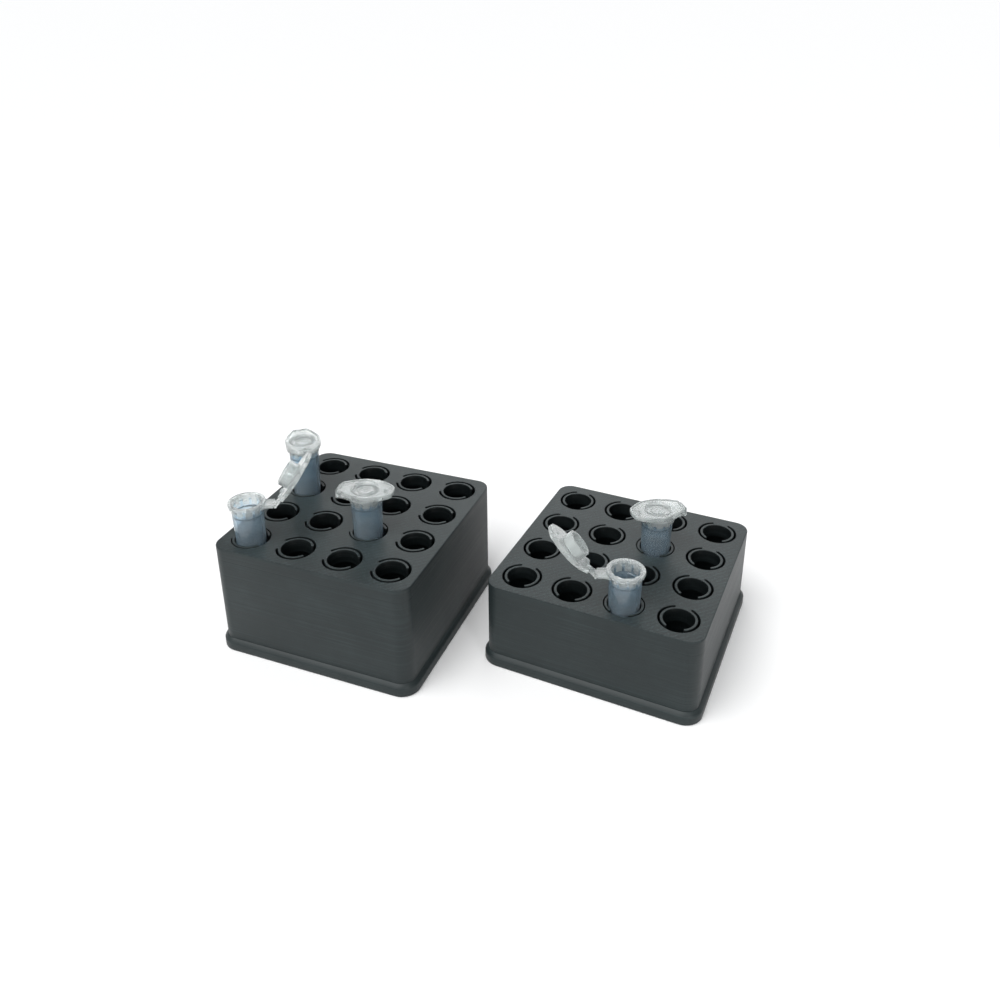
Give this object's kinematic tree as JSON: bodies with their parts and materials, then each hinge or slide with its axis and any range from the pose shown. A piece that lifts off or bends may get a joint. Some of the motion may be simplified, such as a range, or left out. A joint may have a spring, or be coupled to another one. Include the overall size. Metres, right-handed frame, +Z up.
{
  "type": "microtube block set",
  "caption": "Two square bench blocks, one tall and one short, each with a grid of spring-clip wells, holding snap-lid microtubes, some open and some shut.",
  "frame": {"origin": "centre of the tall block's flat underside, on the bench", "axes": "+Z up out of the wells; +X along a row of wells towards the short block; +Y away from the user's side"},
  "size_m": [0.1709, 0.1017, 0.0732],
  "materials": {
    "block_plastic": "charcoal grey layer-built plastic, satin, with faint horizontal layer lines",
    "tube_plastic": "natural translucent polypropylene, smooth moulded",
    "lid_plastic": "natural translucent polypropylene, frosted"
  },
  "bodies": {
    "tall_block": {"tall_block": "block_plastic", "tall_clip_1_1": "block_plastic", "tall_clip_2_1": "block_plastic", "tall_clip_3_1": "block_plastic", "tall_clip_4_1": "block_plastic", "tall_clip_1_2": "block_plastic", "tall_clip_2_2": "block_plastic", "tall_clip_3_2": "block_plastic", "tall_clip_4_2": "block_plastic", "tall_clip_1_3": "block_plastic", "tall_clip_2_3": "block_plastic", "tall_clip_3_3": "block_plastic", "tall_clip_4_3": "block_plastic", "tall_clip_1_4": "block_plastic", "tall_clip_2_4": "block_plastic", "tall_clip_3_4": "block_plastic", "tall_clip_4_4": "block_plastic"},
    "short_block": {"short_block": "block_plastic", "short_clip_1_1": "block_plastic", "short_clip_2_1": "block_plastic", "short_clip_3_1": "block_plastic", "short_clip_4_1": "block_plastic", "short_clip_1_2": "block_plastic", "short_clip_2_2": "block_plastic", "short_clip_3_2": "block_plastic", "short_clip_4_2": "block_plastic", "short_clip_1_3": "block_plastic", "short_clip_2_3": "block_plastic", "short_clip_3_3": "block_plastic", "short_clip_4_3": "block_plastic", "short_clip_1_4": "block_plastic", "short_clip_2_4": "block_plastic", "short_clip_3_4": "block_plastic", "short_clip_4_4": "block_plastic"},
    "tube_1": {"tube_1_body": "tube_plastic"},
    "tube_1_link": {"tube_1_hinge_link": "lid_plastic"},
    "tube_1_lid": {"tube_1_lid": "lid_plastic"},
    "tube_2": {"tube_2_body": "tube_plastic"},
    "tube_2_link": {"tube_2_hinge_link": "lid_plastic"},
    "tube_2_lid": {"tube_2_lid": "lid_plastic"},
    "tube_3": {"tube_3_body": "tube_plastic"},
    "tube_3_link": {"tube_3_hinge_link": "lid_plastic"},
    "tube_3_lid": {"tube_3_lid": "lid_plastic"},
    "tube_4": {"tube_4_body": "tube_plastic"},
    "tube_4_link": {"tube_4_hinge_link": "lid_plastic"},
    "tube_4_lid": {"tube_4_lid": "lid_plastic"},
    "tube_5": {"tube_5_body": "tube_plastic"},
    "tube_5_link": {"tube_5_hinge_link": "lid_plastic"},
    "tube_5_lid": {"tube_5_lid": "lid_plastic"}
  },
  "joints": [
    {"name": "short_block_slide", "type": "slide", "parent": "tall_block", "child": "short_block", "axis": [1, 0, 0], "range_m": [0, 0.1]},
    {"name": "tube_1_lift", "type": "slide", "parent": "tall_block", "child": "tube_1", "axis": [0, 0, 1], "range_m": [0, 0.045]},
    {"name": "tube_1_link_fold", "type": "hinge", "parent": "tube_1", "child": "tube_1_link", "pos_m": [-0.01796, -0.02297, 0.0545], "axis": [-0.4067, 0.9135, 0], "range_deg": [-40, 0.6]},
    {"name": "tube_1_lid_fold", "type": "hinge", "parent": "tube_1_link", "child": "tube_1_lid", "pos_m": [-0.01655, -0.02235, 0.05634], "axis": [-0.4067, 0.9135, 0], "range_deg": [-84, 1.26]},
    {"name": "tube_2_lift", "type": "slide", "parent": "tall_block", "child": "tube_2", "axis": [0, 0, 1], "range_m": [0, 0.045]},
    {"name": "tube_2_link_fold", "type": "hinge", "parent": "tube_2", "child": "tube_2_link", "pos_m": [-0.03323, 0.01669, 0.0587], "axis": [-0.7771, -0.6293, 0], "range_deg": [0, 43.5]},
    {"name": "tube_2_lid_fold", "type": "hinge", "parent": "tube_2_link", "child": "tube_2_lid", "pos_m": [-0.03323, 0.01669, 0.0611], "axis": [-0.7771, -0.6293, 0], "range_deg": [0, 91.35]},
    {"name": "tube_3_lift", "type": "slide", "parent": "tall_block", "child": "tube_3", "axis": [0, 0, 1], "range_m": [0, 0.045]},
    {"name": "tube_3_link_fold", "type": "hinge", "parent": "tube_3", "child": "tube_3_link", "pos_m": [-0.00075, -0.01072, 0.0553], "axis": [0.1736, -0.9848, 0], "range_deg": [0, 29]},
    {"name": "tube_3_lid_fold", "type": "hinge", "parent": "tube_3_link", "child": "tube_3_lid", "pos_m": [-0.00075, -0.01072, 0.0577], "axis": [0.1736, -0.9848, 0], "range_deg": [0, 60.9]},
    {"name": "tube_4_lift", "type": "slide", "parent": "short_block", "child": "tube_4", "axis": [0, 0, 1], "range_m": [0, 0.045]},
    {"name": "tube_4_link_fold", "type": "hinge", "parent": "tube_4", "child": "tube_4_link", "pos_m": [0.10961, 0.03766, 0.0442], "axis": [-0.6285, 0.7778, 0], "range_deg": [0, 43.5]},
    {"name": "tube_4_lid_fold", "type": "hinge", "parent": "tube_4_link", "child": "tube_4_lid", "pos_m": [0.10961, 0.03766, 0.0466], "axis": [-0.6285, 0.7778, 0], "range_deg": [0, 91.35]},
    {"name": "tube_5_lift", "type": "slide", "parent": "short_block", "child": "tube_5", "axis": [0, 0, 1], "range_m": [0, 0.045]},
    {"name": "tube_5_link_fold", "type": "hinge", "parent": "tube_5", "child": "tube_5_link", "pos_m": [0.09018, -0.00817, 0.0435], "axis": [0.3736, -0.9276, 0], "range_deg": [-42, 2.5]},
    {"name": "tube_5_lid_fold", "type": "hinge", "parent": "tube_5_link", "child": "tube_5_lid", "pos_m": [0.08869, -0.00877, 0.04528], "axis": [0.3736, -0.9276, 0], "range_deg": [-88.2, 5.25]}
  ],
  "couplings": [
    {"joint": "tube_1_lid_fold", "follows": "tube_1_link_fold", "ratio": 2.1},
    {"joint": "tube_2_lid_fold", "follows": "tube_2_link_fold", "ratio": 2.1},
    {"joint": "tube_3_lid_fold", "follows": "tube_3_link_fold", "ratio": 2.1},
    {"joint": "tube_4_lid_fold", "follows": "tube_4_link_fold", "ratio": 2.1},
    {"joint": "tube_5_lid_fold", "follows": "tube_5_link_fold", "ratio": 2.1}
  ]
}
